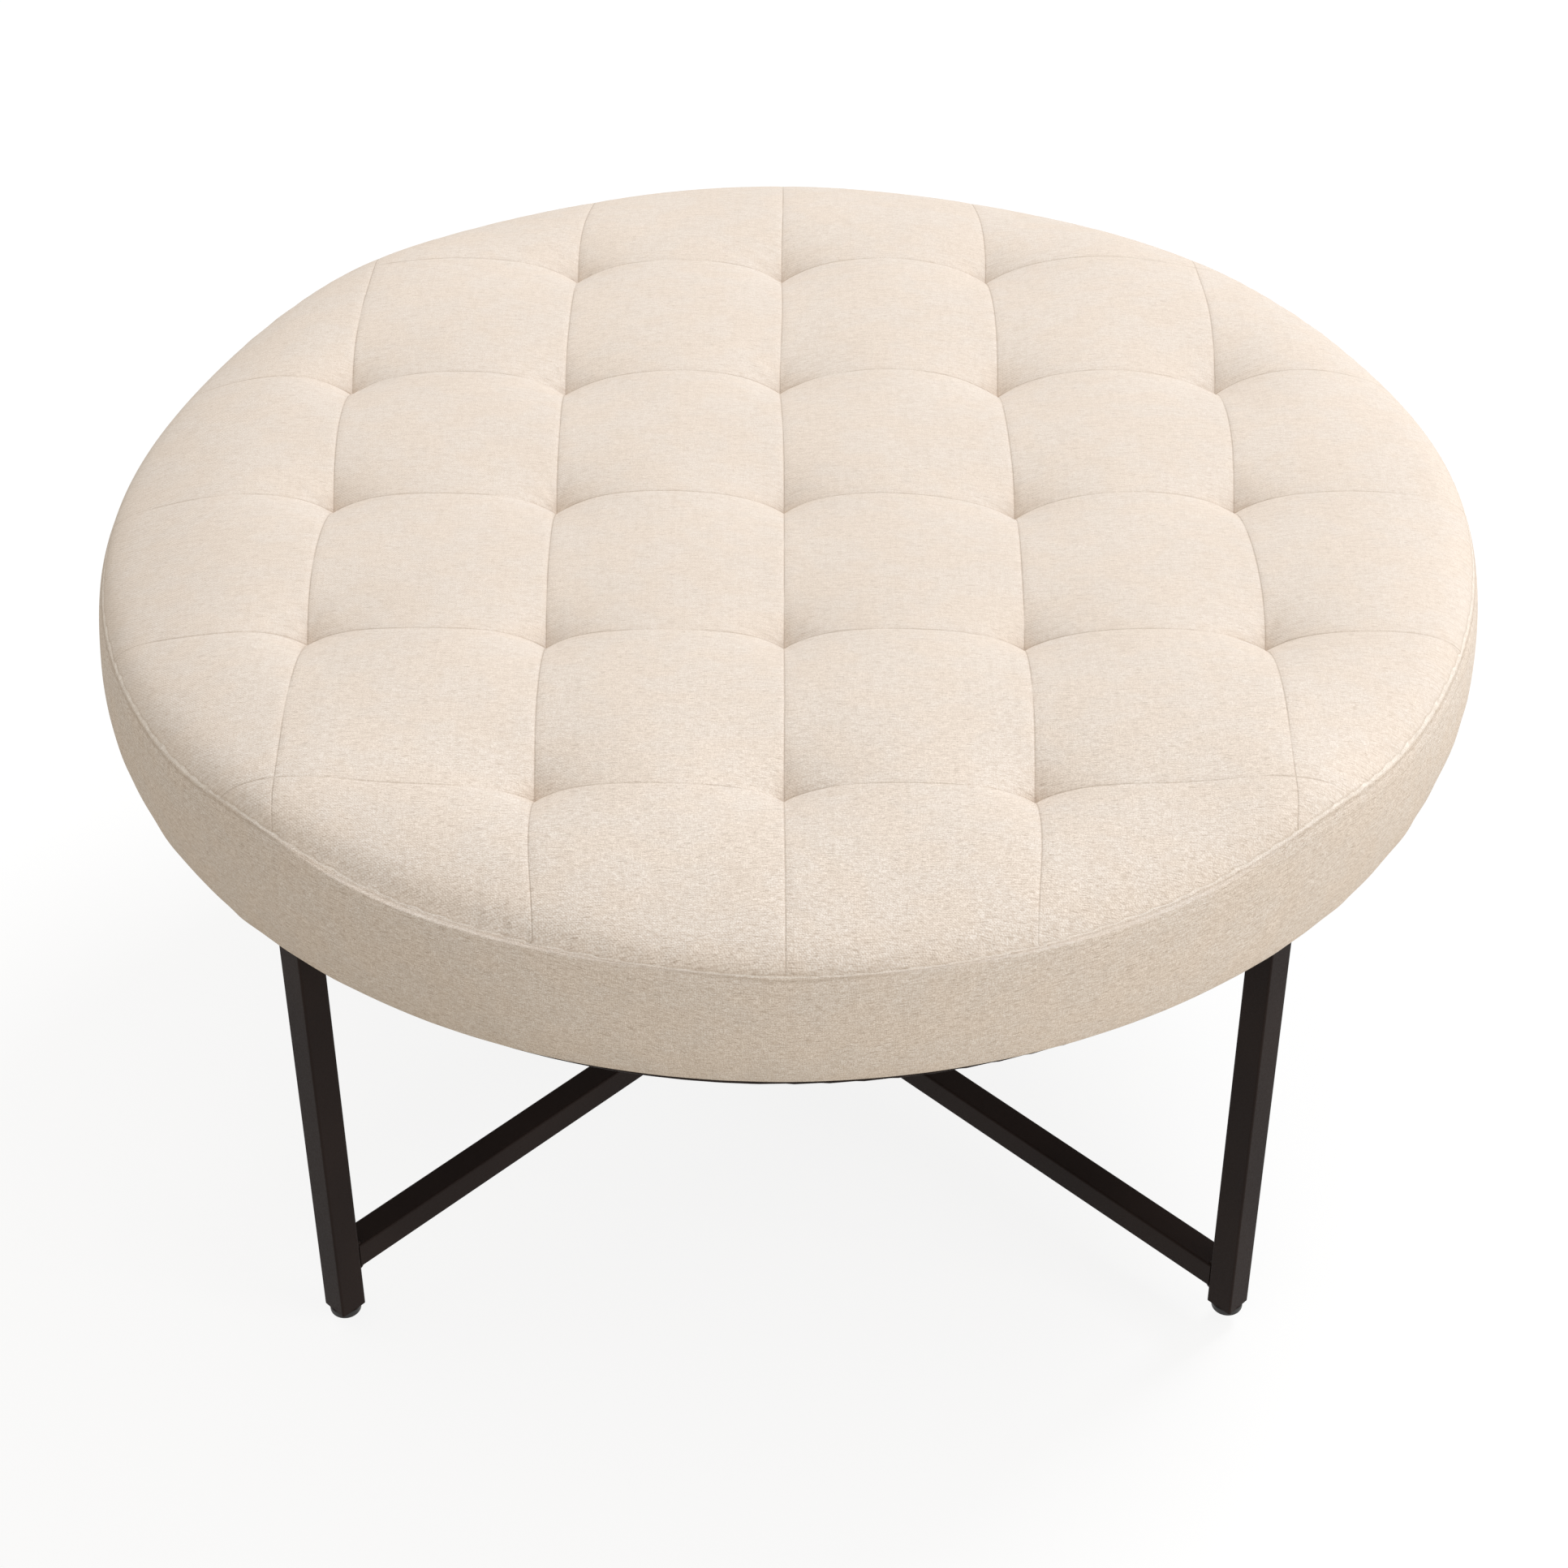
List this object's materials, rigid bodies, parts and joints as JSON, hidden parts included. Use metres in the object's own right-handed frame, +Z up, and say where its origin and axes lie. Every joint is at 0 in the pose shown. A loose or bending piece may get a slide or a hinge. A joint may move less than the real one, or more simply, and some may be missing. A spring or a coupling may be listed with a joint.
{
  "type": "round tufted ottoman coffee table",
  "caption": "Round padded top with a hand-tufted square-grid cover, on a square-tube base with a ring, upright legs, crossed stretchers and screw-adjustable feet.",
  "frame": {"origin": "on the floor, under the middle of the round top", "axes": "+Z up; +X to the right of a viewer who faces the front; +Y away from that viewer; the legs stand on the diagonals"},
  "size_m": [0.9252, 0.9252, 0.4731],
  "materials": {
    "upholstery_fabric": "warm off-white woven upholstery cloth",
    "wadding": "white polyester wadding",
    "foam": "cream open-cell foam",
    "plywood": "unfinished plywood",
    "twine": "waxed tufting twine",
    "anchor_plastic": "moulded discs",
    "dust_cover_cloth": "black non-woven cloth",
    "powder_coat": "dark bronze-brown satin powder coat",
    "zinc_steel": "bright zinc plate",
    "black_oxide": "black oxide on steel screws",
    "black_plastic": "black moulded plastic"
  },
  "bodies": {
    "table": {"top_cover": "upholstery_fabric", "boxing_band": "upholstery_fabric", "wadding": "wadding", "foam_core": "foam", "deck_panel": "plywood", "deck_nuts": "zinc_steel", "tuft_twines": "twine", "tuft_anchors": "anchor_plastic", "dust_cover": "dust_cover_cloth", "dust_cover_staples": "zinc_steel", "ring_tube": "powder_coat", "mounting_tabs": "powder_coat", "mounting_washers": "zinc_steel", "mounting_screws": "black_oxide", "upper_cross_bar": "powder_coat", "lower_cross_bar": "powder_coat", "bar_welds": "powder_coat", "ring_welds": "powder_coat", "leg_front_right": "powder_coat", "leg_plug_front_right": "black_plastic", "threaded_bush_front_right": "zinc_steel", "leg_back_right": "powder_coat", "leg_plug_back_right": "black_plastic", "threaded_bush_back_right": "zinc_steel", "leg_back_left": "powder_coat", "leg_plug_back_left": "black_plastic", "threaded_bush_back_left": "zinc_steel", "leg_front_left": "powder_coat", "leg_plug_front_left": "black_plastic", "threaded_bush_front_left": "zinc_steel"},
    "foot_front_right": {"foot_stem_front_right": "zinc_steel", "foot_pad_front_right": "black_plastic"},
    "foot_back_right": {"foot_stem_back_right": "zinc_steel", "foot_pad_back_right": "black_plastic"},
    "foot_back_left": {"foot_stem_back_left": "zinc_steel", "foot_pad_back_left": "black_plastic"},
    "foot_front_left": {"foot_stem_front_left": "zinc_steel", "foot_pad_front_left": "black_plastic"}
  },
  "joints": [
    {"name": "foot_slide_front_right", "type": "slide", "parent": "table", "child": "foot_front_right", "axis": [0, 0, -1], "range_m": [0, 0.01]},
    {"name": "foot_slide_back_right", "type": "slide", "parent": "table", "child": "foot_back_right", "axis": [0, 0, -1], "range_m": [0, 0.01]},
    {"name": "foot_slide_back_left", "type": "slide", "parent": "table", "child": "foot_back_left", "axis": [0, 0, -1], "range_m": [0, 0.01]},
    {"name": "foot_slide_front_left", "type": "slide", "parent": "table", "child": "foot_front_left", "axis": [0, 0, -1], "range_m": [0, 0.01]}
  ]
}
